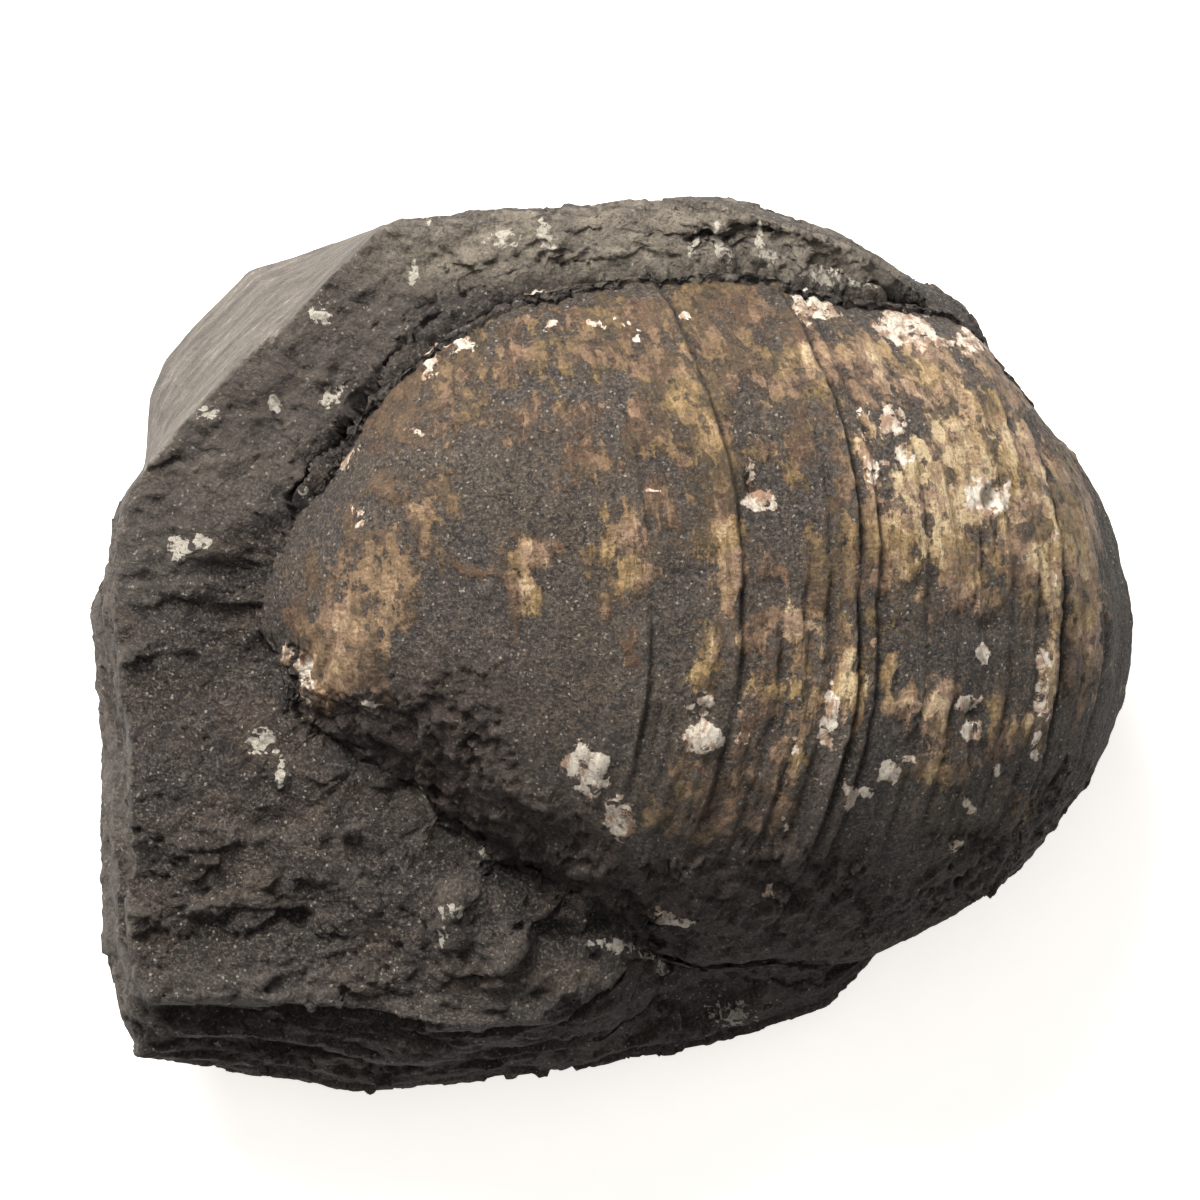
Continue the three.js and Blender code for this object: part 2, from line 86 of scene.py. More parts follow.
# Patches of brown shell left on the mould: x, y, half width, half height, turn in degrees, strength.
BROWN_PATCHES = (
    (-8.8, 12.5, 4.1, 2.3, 22, 0.42), (-4.4, 13.7, 1.9, 1.2, 10, 0.6), (-8.6, 12.4, 1.8, 1.1, 30, 0.4),
    (-12.8, -0.3, 1.5, 2.4, -26, 1.5), (-11.2, 3.0, 1.5, 1.7, 0, 0.8), (-10.2, 1.2, 0.6, 1.9, -5, 0.9),
    (-11.2, -1.8, 0.9, 0.9, -30, 1.0), (-9.0, 5.6, 0.6, 1.3, 32, 1.0), (-8.4, 6.7, 1.2, 1.1, 0, 0.5),
    (-12.1, 5.3, 0.5, 1.4, 15, 0.7), (-10.7, 7.4, 1.2, 0.6, 25, 0.7), (-14.4, 1.9, 1.7, 1.9, -30, 0.2),
    (-3.8, 4.7, 1.0, 0.5, 10, 0.8), (-4.6, 1.6, 0.3, 1.6, 8, 1.0), (-3.8, 2.9, 0.3, 1.0, 12, 0.9),
    (-6.2, 3.5, 1.3, 0.35, 4, 0.9), (0.5, 5.2, 1.1, 1.2, 0, 0.9), (1.0, 3.2, 0.8, 0.8, 10, 0.9),
    (-1.0, 4.0, 0.7, 0.7, 0, 0.6), (-0.2, 2.4, 0.4, 0.8, 20, 0.7), (1.0, 0.3, 0.4, 1.0, 0, 0.8),
    (0.1, 15.6, 2.8, 1.0, 2, 0.8), (0.9, 14.4, 1.2, 0.9, -20, 0.8), (-0.6, 14.1, 1.9, 1.0, 0, 0.5),
    (-3.7, 10.8, 3.1, 1.0, 8, 0.35), (3.0, 11.6, 1.6, 2.5, 18, 0.8), (5.0, 7.5, 1.1, 2.8, 12, 0.9),
    (5.6, 4.3, 0.5, 2.7, 0, 1.0), (4.6, -0.3, 0.6, 2.0, -12, 1.0), (6.2, 13.6, 0.8, 0.8, 0, 0.9),
    (5.3, 12.3, 1.1, 1.5, 12, 0.7), (5.2, 15.9, 2.1, 1.8, 0, 0.8), (8.8, 13.4, 1.7, 1.7, 20, 0.9),
    (8.7, 10.3, 0.7, 2.6, 8, 0.8), (1.6, 9.7, 0.8, 0.9, 0, 0.8), (-1.2, 9.0, 1.3, 1.3, -10, 0.5),
    (2.5, 6.3, 0.5, 1.0, 0, 0.7), (4.5, 5.3, 0.8, 0.9, 0, 0.8), (6.7, 9.1, 0.4, 0.7, 0, 0.7),
    (7.1, 3.5, 0.5, 0.5, 0, 0.7), (10.0, 3.8, 0.7, 1.7, 8, 0.6), (7.1, 0.7, 1.0, 0.6, -8, 0.8),
    (8.8, 0.3, 1.0, 1.1, 0, 0.9), (6.9, -2.3, 0.7, 1.8, -10, 0.7), (8.9, -2.2, 0.9, 1.9, -10, 0.7),
    (6.1, -5.3, 0.4, 1.7, -16, 0.6), (7.4, -5.6, 0.4, 1.9, -16, 0.6), (8.7, -4.8, 0.4, 2.2, -14, 0.7),
    (4.4, -6.5, 1.1, 1.0, -20, 0.5), (10.0, 12.6, 0.7, 1.0, 10, 0.8), (10.9, 6.9, 0.3, 4.8, 3, 0.7),
    (11.8, 13.1, 1.1, 1.5, 8, 0.8), (14.2, 13.0, 1.9, 1.4, 12, 0.9), (16.4, 7.5, 2.2, 2.3, 0, 1.1),
    (14.5, 8.1, 0.8, 1.4, 0, 1.0), (13.5, 4.8, 0.8, 2.7, 0, 1.0), (16.0, 3.7, 1.1, 1.8, 0, 1.0),
    (12.1, 6.0, 0.4, 4.8, 2, 0.7), (19.5, 8.7, 0.9, 1.0, 0, 0.9), (20.7, 4.8, 0.5, 3.8, 2, 1.0),
    (22.6, 3.1, 0.9, 3.9, 3, 1.3), (19.4, 5.0, 0.8, 2.9, 2, 0.7), (18.1, 11.8, 1.6, 1.9, -40, 0.5),
    (22.0, 7.6, 0.8, 2.0, 16, 0.5), (17.3, 13.9, 0.6, 0.8, 30, 0.8), (17.9, 3.6, 0.7, 1.9, 0, 0.5),
    (10.9, -1.1, 0.4, 2.0, -4, 0.9), (20.5, -1.8, 0.4, 2.0, -4, 1.0), (15.6, -3.3, 0.9, 1.4, 0, 1.0),
    (18.2, -3.7, 0.3, 1.3, -6, 1.0), (18.8, -4.4, 0.5, 1.2, -10, 1.0), (15.8, -5.9, 1.3, 0.7, 10, 0.8),
    (19.5, -7.8, 0.7, 0.8, -30, 0.6), (13.7, -2.2, 0.4, 1.7, -4, 0.9), (11.8, -2.4, 0.4, 1.7, -8, 0.8),
    (5.2, -8.3, 3.8, 0.8, 4, 0.35),
)
# Where the brown shell is pale tan, in the same form.
TAN_PATCHES = (
    (-12.7, -0.2, 1.7, 2.6, -26, 1.5), (-11.0, 2.8, 1.8, 2.0, 0, 0.9), (-9.0, 5.6, 0.9, 1.5, 32, 1.0),
    (0.6, 4.6, 1.5, 1.8, 0, 0.6), (16.2, 7.9, 3.6, 3.2, -10, 1.6), (13.6, 4.6, 1.0, 3.0, 0, 1.1),
    (20.8, 4.6, 0.7, 4.4, 2, 1.2), (22.7, 3.1, 0.9, 3.6, 3, 0.7),
    (14.6, 13.4, 3.4, 1.6, -15, 0.8), (12.2, 9.4, 1.0, 2.6, 5, 0.6), (3.4, 11.2, 1.0, 2.4, 18, 0.35),
    (5.6, 3.6, 0.5, 3.0, 0, 0.5), (9.3, 13.2, 1.6, 1.4, 0, 0.5), (16.0, 3.4, 1.2, 2.0, 0, 0.5),
    (-4.0, 3.6, 1.0, 1.6, 8, 0.6), (6.3, -1.8, 0.6, 1.8, -8, 0.8), (8.8, 0.3, 1.2, 1.2, 0, 0.7),
    (8.9, -2.2, 1.0, 2.0, -10, 0.7), (15.6, -3.3, 1.1, 1.6, 0, 1.0), (13.7, -2.2, 0.5, 1.9, -4, 1.0),
    (18.6, -4.0, 0.8, 1.4, -10, 1.0), (11.3, -1.9, 0.7, 2.4, -6, 1.1), (20.5, -1.8, 0.5, 2.2, -4, 1.1),
    (15.8, -5.9, 1.3, 0.8, 10, 0.7), (4.5, -0.3, 0.8, 2.2, -12, 0.6), (8.6, -4.9, 0.6, 2.2, -14, 0.6),
)
# Where rock still sticks to the shell, in the same form.
STUCK_ROCK = (
    (-9.4, -6.0, 5.6, 4.2, -35, 1.0), (-4.2, -10.2, 6.2, 3.6, -32, 1.0), (2.0, -12.8, 6.0, 2.6, -14, 0.8),
    (9.0, -13.6, 6.5, 2.0, 0, 0.7), (16.5, -10.8, 4.8, 2.3, 32, 0.8), (-14.9, -1.8, 1.2, 2.4, 10, 0.8),
    (-6.6, -2.2, 2.6, 2.6, 0, 0.45), (21.2, -7.6, 2.6, 1.4, 58, 0.5), (5.5, -11.5, 8.5, 2.5, 3, 0.85),
)
# Chips of white calcite on the shell, in the same form.
WHITE_CHIPS = (
    (-7.7, 14.8, 1.0, 0.4, 22, 1.0), (-8.8, 13.5, 0.6, 0.7, 45, 0.9), (-12.3, 9.1, 0.3, 0.3, 40, 0.8),
    (-13.1, 8.5, 0.6, 0.3, 25, 0.8), (-7.0, 14.4, 0.6, 0.3, 20, 0.8), (-3.5, 17.0, 0.8, 0.4, 14, 1.0),
    (-2.3, 17.6, 0.5, 0.2, 0, 1.0), (-2.9, 15.3, 0.4, 0.3, 30, 0.9), (-0.7, 15.3, 0.6, 0.2, -8, 1.0),
    (0.5, 15.4, 0.4, 0.2, -20, 1.0), (1.2, 14.8, 0.4, 0.2, -30, 0.7), (3.5, 15.5, 0.3, 0.2, 0, 1.2),
    (4.7, 18.0, 0.6, 0.2, -10, 1.0), (6.4, 17.6, 0.3, 0.1, 0, 0.8), (7.6, 17.4, 0.4, 0.2, -6, 0.8),
    (9.6, 16.3, 1.0, 0.8, -32, 1.1), (14.0, 15.1, 1.5, 1.0, -22, 1.2), (15.9, 14.5, 0.8, 0.3, -24, 0.7),
    (17.2, 14.5, 0.7, 0.8, -48, 0.9), (6.6, 8.3, 0.4, 0.7, 14, 0.5), (7.1, 7.0, 0.8, 0.5, -14, 1.1),
    (7.7, 7.5, 0.2, 0.5, 0, 0.6), (11.9, 11.2, 0.4, 0.5, -30, 0.7), (13.3, 10.6, 0.7, 0.7, -50, 0.8),
    (12.0, 9.9, 0.4, 0.4, 0, 0.6), (12.1, 8.2, 0.4, 0.8, 0, 1.0), (12.9, 8.6, 0.4, 0.4, 0, 0.7),
    (13.8, 9.1, 0.4, 0.5, 30, 0.6), (17.6, 6.9, 1.1, 0.9, -38, 1.4), (18.8, 7.1, 0.2, 0.8, 0, 0.9),
    (20.9, 5.1, 0.4, 0.4, 40, 0.8), (20.9, 2.9, 0.2, 1.3, 2, 0.5), (20.5, -1.6, 0.3, 1.8, -4, 0.7),
    (20.1, -4.8, 0.3, 0.7, -20, 0.5), (10.2, -3.3, 0.4, 1.5, -8, 1.0), (17.7, -0.5, 0.4, 0.6, 0, 1.1),
    (17.0, -2.7, 0.6, 0.4, 28, 1.0), (17.2, -4.0, 0.4, 0.6, -24, 1.0), (12.4, 0.3, 0.2, 0.3, 0, 1.0),
    (13.2, -6.1, 0.5, 0.5, -10, 1.1), (12.2, -6.9, 0.4, 0.3, 20, 1.0), (11.3, -7.1, 0.3, 0.8, -8, 1.1),
    (14.2, -5.5, 0.4, 0.3, 0, 1.0), (16.9, -7.8, 0.3, 0.4, -30, 1.0), (16.4, -9.5, 0.5, 0.4, 30, 0.9),
    (18.4, -6.0, 0.2, 0.3, 0, 0.8), (4.3, -2.7, 0.6, 0.8, -6, 0.7), (4.3, -4.3, 0.9, 0.7, -14, 1.3),
    (-1.2, -6.0, 0.9, 1.2, 0, 1.1), (0.3, -8.3, 0.6, 1.2, 10, 1.1), (8.7, -4.8, 0.4, 0.7, -14, 0.6),
    (6.3, -4.3, 0.3, 0.4, -30, 0.6), (8.3, -8.7, 0.2, 0.5, 10, 0.7), (-15.5, -0.5, 0.3, 0.3, 0, 1.0),
    (-14.5, -1.1, 0.4, 0.9, 12, 1.0), (-14.5, -2.5, 0.2, 0.3, 30, 1.0), (-11.4, -2.8, 0.4, 0.4, 0, 0.8),
    (2.8, -13.0, 1.0, 0.4, 2, 0.8), (7.5, -11.6, 0.4, 0.3, 0, 0.7), (-12.1, 6.4, 0.3, 0.3, 0, 0.8),
    (-11.9, 5.7, 0.3, 0.2, 0, 0.7), (1.8, 7.4, 0.4, 0.2, -18, 0.8), (-9.4, 10.0, 0.6, 0.2, -10, 0.5),
)
# And on the rock.
ROCK_CHIPS = (
    (-9.5, 17.9, 0.2, 0.5, -10, 0.9), (-13.4, 11.9, 0.6, 0.4, 35, 1.0), (-16.2, 11.6, 0.3, 0.4, 10, 0.9),
    (-19.3, 11.1, 0.5, 0.3, 10, 0.9), (-20.8, 4.7, 0.6, 0.6, -20, 0.8), (-19.6, 4.9, 0.4, 0.3, 10, 0.9),
    (-16.8, -4.6, 0.6, 0.5, 25, 1.0), (-15.9, -6.0, 0.2, 1.1, -4, 0.8), (-19.1, -19.2, 0.3, 0.2, 0, 1.0),
    (-9.2, -7.0, 0.5, 0.3, 0, 0.8), (-7.6, -12.7, 0.6, 0.4, 0, 0.8), (-8.0, -14.0, 0.3, 0.5, 0, 0.6),
    (0.1, -14.4, 1.2, 0.3, -10, 0.7), (1.7, -15.0, 0.4, 0.3, 0, 0.6), (3.9, 19.2, 0.2, 0.7, -20, 0.9),
    (5.1, 19.4, 0.2, 0.9, 8, 1.0), (5.4, 18.8, 0.5, 0.2, -30, 0.9), (7.1, 19.3, 0.2, 0.9, 0, 0.9),
    (7.5, 18.7, 0.4, 0.3, -40, 0.9), (-3.3, 19.6, 0.4, 0.9, 20, 0.5),
    (-5.4, 19.4, 1.0, 0.4, 8, 0.4), (-14.0, 15.8, 0.5, 0.7, 40, 0.4), (-6.1, -10.0, 0.3, 0.3, 0, 0.6),
    (-14.8, 7.3, 0.2, 0.3, 0, 0.6), (-8.8, 20.3, 0.2, 0.4, 20, 0.5), (2.4, -15.6, 0.3, 0.3, 0, 0.7),
    (5.7, -17.8, 1.4, 0.7, 0, 0.3), (10.0, 17.8, 1.0, 0.3, 0, 0.8), (11.2, 17.3, 1.2, 0.2, -4, 0.9),
    (0.6, 18.1, 0.8, 0.1, 4, 0.6),
)
# Pits, lumps and cracks: x, y, half width, half height, turn in degrees, height.
SHELL_MARKS = (
    (6.7, 7.7, 0.35, 0.7, 10, -0.45), (18.1, 7.0, 0.4, 0.5, 0, -0.7), (4.4, -3.3, 0.3, 0.4, 0, -0.3),
    (-6.0, 2.6, 0.4, 0.4, 0, 0.25), (-1.2, -6.0, 0.9, 1.2, 0, 0.15), (4.4, -4.4, 0.9, 0.8, 0, 0.2),
    (17.2, -3.2, 0.4, 0.4, 20, -0.25), (3.5, 3.4, 1.9, 0.09, -2, -0.25), (15.5, 0.9, 5.5, 0.5, 2, -0.08),
    (-14.2, -0.4, 0.3, 1.4, -20, -0.25), (-13.4, -0.6, 0.2, 1.2, -20, -0.2), (1.4, 2.0, 0.5, 0.9, 0, -0.15),
)
ROCK_MARKS = (
    (-15.1, -2.9, 0.9, 0.35, 30, -1.1), (-6.9, -7.2, 1.6, 0.16, -3, -0.7),
    (-11.3, -5.2, 1.5, 0.18, -32, -0.6), (-15.0, -13.0, 0.6, 0.4, 0, -0.5),
    (-4.3, -10.2, 0.28, 2.4, -6, -0.9),
    (-7.8, -12.4, 0.7, 1.5, 5, 0.3), (-4.9, -15.4, 0.8, 1.9, -35, 0.4), (0.2, -14.4, 1.5, 0.8, -10, 0.3),
    (-5.4, -10.0, 0.9, 2.3, 0, -0.6), (-1.6, -15.8, 1.0, 0.7, 0, 0.3), (0.5, 19.6, 3.2, 0.6, -4, -0.2),
    (-19.6, -13.8, 0.9, 1.0, 10, -0.35), (4.5, 19.4, 0.4, 0.7, 0, -0.4), (6.1, 19.4, 0.8, 0.7, 0, -0.45),
    (8.2, 19.1, 0.7, 0.5, -20, -0.35), (3.9, 19.3, 0.15, 0.7, -20, 0.3), (5.1, 19.4, 0.15, 0.9, 10, 0.35),
    (7.1, 19.4, 0.15, 0.9, 0, 0.35), (-8.4, -7.6, 1.4, 0.9, 10, 0.35),
)

# Where y - x reaches these, the block's upper left is a smooth newly broken face, down to about its foot.
BREAK_EDGE = (30.2, 31.0)
BREAK_FOOT = 3.6
# The level of the block's top beyond the shell's upper edge: x and z.
COLLAR_TOP = ((-18, 16.4), (-8, 16.9), (0, 17.1), (6, 16.8), (9, 15.9), (12, 14.3), (16, 11.3), (19, 9.0))
# How far the rock climbs onto the shell at the lower left, and how far from the shell that reaches.
CLIMB = 2.4
CLIMB_REACH = 3.4
# How near the shell the rock is drawn against it, and how deep it then goes in.
GROWN_REACH = 0.6
GROWN_DEPTH = 0.28
# The rock's fineness before it is thinned, and its triangles after.
ROCK_VOXEL = 0.17
ROCK_TRIANGLES = 192000

# Camera and light, from the photograph: 1200 pixels across it are 57.7 mm, and it looks straight down.
FRAME_WIDTH = 57.7 * MM
FRAME_MIDDLE = (-0.58 * MM, 2.14 * MM, 12 * MM)
CAMERA_DISTANCE = 1.1
CLIP_START, CLIP_END = 0.05, 10
SENSOR = 36
# Lights in metres: name, place, size, power and colour.
LIGHTS = (
    ("key", (-0.22, 0.46, 0.42), 0.36, 11.0, (1, 0.985, 0.95)),
    ("overhead", (0.0, 0.1, 0.7), 0.5, 1.2, (1, 1, 1)),
)
LIGHT_TARGET = (0, 0, 0.01)
WORLD_STRENGTH = 0.12
FLOOR_HALF = 1.6
FLOOR_GLOW = 0.77


def random_at(cell, seed):
    """A repeatable number from 0 to 1 for each whole-number point."""
    i, j, k = (cell[:, axis].astype(np.int64).astype(np.uint32) for axis in range(3))
    mixed = i * np.uint32(374761393) + j * np.uint32(668265263) + k * np.uint32(2246822519)
    mixed = mixed + np.uint32(seed * 974711 % 4294967295)
    mixed = (mixed ^ (mixed >> np.uint32(13))) * np.uint32(1274126177)
    mixed = mixed ^ (mixed >> np.uint32(16))
    return mixed / 4294967295.0


def noise(points, seed):
    """Smooth noise from -1 to 1."""
    cell = np.floor(points)
    part = points - cell
    part = part * part * (3 - 2 * part)
    total = np.zeros(len(points))
    for corner in itertools.product((0, 1), repeat=3):
        weight = np.prod(np.where(np.array(corner) == 1, part, 1 - part), axis=1)
        total += weight * random_at(cell + corner, seed)
    return 2 * total - 1


def fractal(points, seed, octaves, gain=0.5):
    """Noise with finer and finer noise on it."""
    total = np.zeros(len(points))
    for octave in range(octaves):
        total += gain**octave * noise(points * 2**octave + 7.7 * octave, seed + octave)
    return total


def facets(points, seed, tilt=1.0):
    """Heights of a broken surface: each cell of it is a plane with its own tilt and level."""
    cell = np.floor(points)
    least = np.full(len(points), np.inf)
    height = np.zeros(len(points))
    for offset in itertools.product((-1, 0, 1), repeat=3):
        near = cell + offset
        centre = near + np.stack([random_at(near, seed + axis) for axis in range(3)], axis=1)
        away = points - centre
        distance = (away**2).sum(axis=1)
        lean = np.stack([random_at(near, seed + 3 + axis) - 0.5 for axis in range(3)], axis=1)
        level = random_at(near, seed + 6) - 0.5 + tilt * (away * lean).sum(axis=1)
        closer = distance < least
        height[closer] = level[closer]
        least[closer] = distance[closer]
    return height


def step(low, high, value):
    """0 below low, 1 above high, smooth between."""
    part = np.clip((value - low) / (high - low), 0, 1)
    return part * part * (3 - 2 * part)


def spots(points, rows):
    """Yields, for each row, how far each point is from its middle in half widths, and its last value."""
    for x, y, half_width, half_height, turn, value in rows:
        angle = math.radians(turn)
        right = (points[:, 0] - x) * math.cos(angle) + (points[:, 1] - y) * math.sin(angle)
        up = (points[:, 1] - y) * math.cos(angle) - (points[:, 0] - x) * math.sin(angle)
        yield np.hypot(right / half_width, up / half_height), value


def warped(points, seed, size, scale=0.5):
    """Points shifted about at random, which makes the outlines of patches ragged."""
    shift = [fractal(points * scale, seed + 9 * axis, 4, 0.6) for axis in range(3)]
    return points + size * np.stack(shift, axis=1)


def patch_field(points, rows):
    """Positive inside the patches, most in the strongest, and negative outside them."""
    field = np.full(len(points), -1.0)
    for distance, strength in spots(points, rows):
        field = np.maximum(field, np.minimum(0.45 * strength, 1.1 * (1.15 * strength**0.3 - distance)))
    return field


def cover(points, rows):
    """1 inside the patches, fading to 0 outside them."""
    covered = np.zeros(len(points))
    for distance, strength in spots(points, rows):
        covered = np.maximum(covered, strength * (1 - step(0.65, 1.25, distance)))
    return covered


def marks(points, rows):
    """Height of the pits, lumps and cracks."""
    return sum(height * np.exp(-(distance**4)) for distance, height in spots(points, rows))


def smooth_curve(points, samples=600):
    """Evenly spaced points on a smooth curve through the given ones."""
    points = np.array(points, float)
    chord = np.sqrt(np.linalg.norm(np.diff(points, axis=0), axis=1))
    knots = np.concatenate([[0], np.cumsum(chord)])
    places = np.linspace(0, knots[-1], 8 * samples)
    curve = np.stack([hermite(knots, points[:, axis], places) for axis in range(3)], axis=1)
    run = np.concatenate([[0], np.cumsum(np.linalg.norm(np.diff(curve, axis=0), axis=1))])
    even = np.linspace(0, run[-1], samples)
    return np.stack([np.interp(even, run, curve[:, axis]) for axis in range(3)], axis=1)


def hermite(keys, values, places):
    """A smooth curve through the values at the keys, read at the places."""
    keys, values = np.array(keys, float), np.array(values, float)
    number = np.arange(len(keys))
    before = np.maximum(number - 1, 0)
    after = np.minimum(number + 1, len(keys) - 1)
    slope = (values[after] - values[before]) / (keys[after] - keys[before])
    n = np.clip(np.searchsorted(keys, places), 1, len(keys) - 1)
    run, rise = keys[n] - keys[n - 1], values[n] - values[n - 1]
    t = (places - keys[n - 1]) / run
    bend = (slope[n - 1] * run - rise) * (1 - t) - (slope[n] * run - rise) * t
    return values[n - 1] + rise * t + t * (1 - t) * bend


def along(curve, part):
    """The points at the given parts of an evenly spaced curve."""
    places = np.linspace(0, 1, len(curve))
    return np.stack([np.interp(part, places, curve[:, axis]) for axis in range(3)], axis=-1)


def dome(stage, side):
    """The shell's smooth outer surface for grids of growth stage (x) and side (0 lower, 1 upper edge)."""
    keys = [row[0] for row in STAGES]
    upper, lower, crest = (hermite(keys, [row[n] for row in STAGES], stage) for n in (1, 2, 3))
    low, high = along(smooth_curve(LOWER_EDGE), lower), along(smooth_curve(UPPER_EDGE), upper)
    off = np.abs(2 * side - 1)
    flat, steep = (np.where(side < 0.5, LOWER_SIDE[n], UPPER_SIDE[n]) for n in (0, 1))
    points = low + (high - low) * side[..., None]
    points[..., 0] += (stage - (low[..., 0] + high[..., 0]) / 2) * (1 - off**GROWTH_CURVE_POWER)
    points[..., 2] += (crest - (low[..., 2] + high[..., 2]) / 2) * (1 - off**flat) ** steep
    return points


def even_stages():
    """Growth stages spaced so that the shell's cross-sections stand evenly apart."""
    tries = np.linspace(STAGES[0][0], STAGES[-1][0], 3000)[1:]
    middle, edge = (dome(tries, np.full(len(tries), side)) for side in (0.5, 0.93))
    gaps = [np.linalg.norm(np.diff(line, axis=0), axis=1) for line in (middle, edge)]
    run = np.concatenate([[0], np.cumsum(np.maximum(gaps[0], 0.7 * gaps[1]))])
    return np.interp(np.linspace(0, run[-1], STATIONS), run, tries)


def growth_relief(stage, side, points):
    """The growth lines: each swells slowly, drops at its line and has a groove after it. Gives their
    height, how deep in a groove each point is, and how near it is before a line."""
    flat = points.reshape(-1, 3)
    wobble = 0.16 * noise(flat * (0.1, 0.5, 0.1), 31) + 0.06 * noise(flat * (0.3, 1.7, 0.3), 33)
    height, groove, strip = np.zeros((3, *stage.shape))
    for number, (x, rise, swell, start, end) in enumerate(GROWTH_LINES):
        after = stage + wobble.reshape(stage.shape) - x
        strength = step(start - 0.07, start + 0.07, side) * (1 - step(end - 0.06, end + 0.06, side))
        broken_up = step(-0.9, 0.1, noise(flat * (0.02, 0.3, 0.02) + number, 37))
        strength = strength * broken_up.reshape(stage.shape)
        shelf = np.where(after < 0, np.exp(after / swell), np.exp(-after / 0.08))
        cut = np.exp(-(((after - 0.17) / 0.14) ** 2))
        height += strength * rise * (1.25 * shelf - 0.9 * cut)
        groove = np.maximum(groove, strength * min(1, 3.2 * rise) * cut)
        strip = np.maximum(strip, strength * min(1, 3 * rise) * np.exp(-(((after + 0.32) / 0.3) ** 2)))
    return height, groove, strip


def grid_normals(points):
    """Outward normals of a grid of points."""
    along_rows = np.gradient(points, axis=0)
    across_rows = np.gradient(points, axis=1)
    normal = np.cross(along_rows, across_rows)
    return normal / np.maximum(np.linalg.norm(normal, axis=2, keepdims=True), 1e-9)


def store_field(mesh, name, values):
    """Gives each point of the mesh a named number."""
    mesh.attributes.new(name, "FLOAT", "POINT").data.foreach_set("value", values.astype(np.float32))


def make_object(name, points, faces, fields, coordinates=None):
    """A mesh object from points in millimetres, with its named numbers per point."""
    mesh = bpy.data.meshes.new(name)
    mesh.from_pydata((points * MM).tolist(), [], faces)
    for field_name, values in fields.items():
        store_field(mesh, field_name, values)
    if coordinates is not None:
        stored = mesh.attributes.new("growth", "FLOAT_VECTOR", "POINT")
        stored.data.foreach_set("vector", coordinates.astype(np.float32).ravel())
    mesh.shade_smooth()
    made = bpy.data.objects.new(name, mesh)
    bpy.context.scene.collection.objects.link(made)
    return made


def shell_points():
    """The shell's grid of points with all its relief, and its growth coordinates."""
    stages = even_stages()
    sides = (1 - np.cos(np.linspace(0, math.pi, ACROSS + 1))) / 2
    stage, side = np.meshgrid(stages, sides, indexing="ij")
    points = dome(stage, side)
    flat = points.reshape(-1, 3)
    relief, groove, strip = (part.ravel() for part in growth_relief(stage, side, points))
    growth = np.stack([stage.ravel(), flat[:, 1], flat[:, 2]], axis=1)
    stuck = cover(warped(flat, 199, 1.2, 0.3), STUCK_ROCK)
    brown = patch_field(warped(flat, 211, 0.75), BROWN_PATCHES)
    brown = brown + 0.35 * strip * (1 - stuck) - 0.9 * stuck
    white = patch_field(warped(flat, 223, 0.25, 0.9), WHITE_CHIPS)
    # Pale tan along the swell before each growth line: partly the shell's colour, partly a painted
    # highlight on that ridge.
    tan = patch_field(warped(flat, 227, 0.9), TAN_PATCHES) + 0.45 * strip
    ragged = 0.3 * fractal(growth * (1.6, 0.9, 1.2), 41, 4)
    relief *= 1 - 0.7 * stuck
    relief += 0.10 * step(-0.05, 0.12, brown + ragged)
    relief += step(0, 0.3, white + 0.5 * ragged) * (0.03 + 0.05 * facets(flat * 1.2, 55))
    relief += marks(flat, SHELL_MARKS)
    swells = 0.22 * fractal(flat * 0.16, 43, 3)
    relief += swells + 0.05 * fractal(flat * 1.1, 47, 4)
    relief += (1 - stuck) * 0.06 * fractal(growth * (2.3, 0.25, 0.3), 53, 3)
    broken = warped(flat, 241, 0.8)
    lumps = 0.42 * facets(broken * (0.4, 0.55, 0.5), 57, 1.5) + 0.30 * facets(broken * 1.1, 58, 1.5)
    relief += stuck * lumps
    relief += (0.04 + 0.10 * stuck) * facets(flat * 2.1, 59)
    edge = np.minimum(step(0, 0.02, side), 1 - step(0.98, 1, side)).ravel()
    # The relief without its broad swells sets painted shade in hollows and a painted highlight on raised
    # parts.
    relief_shade = 3.0 * (relief - swells)
    relief *= 0.35 + 0.65 * edge
    moved = points + grid_normals(points) * relief.reshape(stage.shape)[..., None]
    fields = {"brown": brown, "white": white, "tan": tan, "stuck": stuck, "groove": groove, "relief_shade": relief_shade}
    return moved, growth, fields


def make_shell():
    """The fossil valve: the domed grid, and a coarse dish that closes its hidden side."""
    grid, coordinates, fields = shell_points()
    rows, columns = grid.shape[:2]
    number = np.arange(rows * columns).reshape(rows, columns)
    quads = np.stack([number[:-1, :-1], number[1:, :-1], number[1:, 1:], number[:-1, 1:]], axis=-1)
    faces = quads.reshape(-1, 4).tolist()
    rim = np.concatenate([number[:, 0], number[-1, 1:-1], number[::-1, -1], number[0, -2:0:-1]])
    points = [grid.reshape(-1, 3)]
    count = rows * columns
    outer = rim
    for inward, sunk in DISH_RINGS:
        ring = points[0][rim] + (np.array(BELLY) - points[0][rim]) * (inward, inward, sunk)
        points.append(ring)
        inner = np.arange(count, count + len(rim))
        count += len(rim)
        faces += np.stack([outer, inner, np.roll(inner, -1), np.roll(outer, -1)], axis=-1).tolist()
        outer = inner
    points.append(np.array([BELLY], float))
    faces += [[int(a), count, int(b)] for a, b in zip(outer, np.roll(outer, -1))]
    blank = np.full(count + 1 - rows * columns, -1.0)
    return make_object(
        "brachiopod_valve_visual",
        np.concatenate(points),
        faces,
        {name: np.concatenate([values, blank * (name != "groove")]) for name, values in fields.items()},
        np.concatenate([coordinates, np.concatenate(points)[rows * columns:]]),
    )


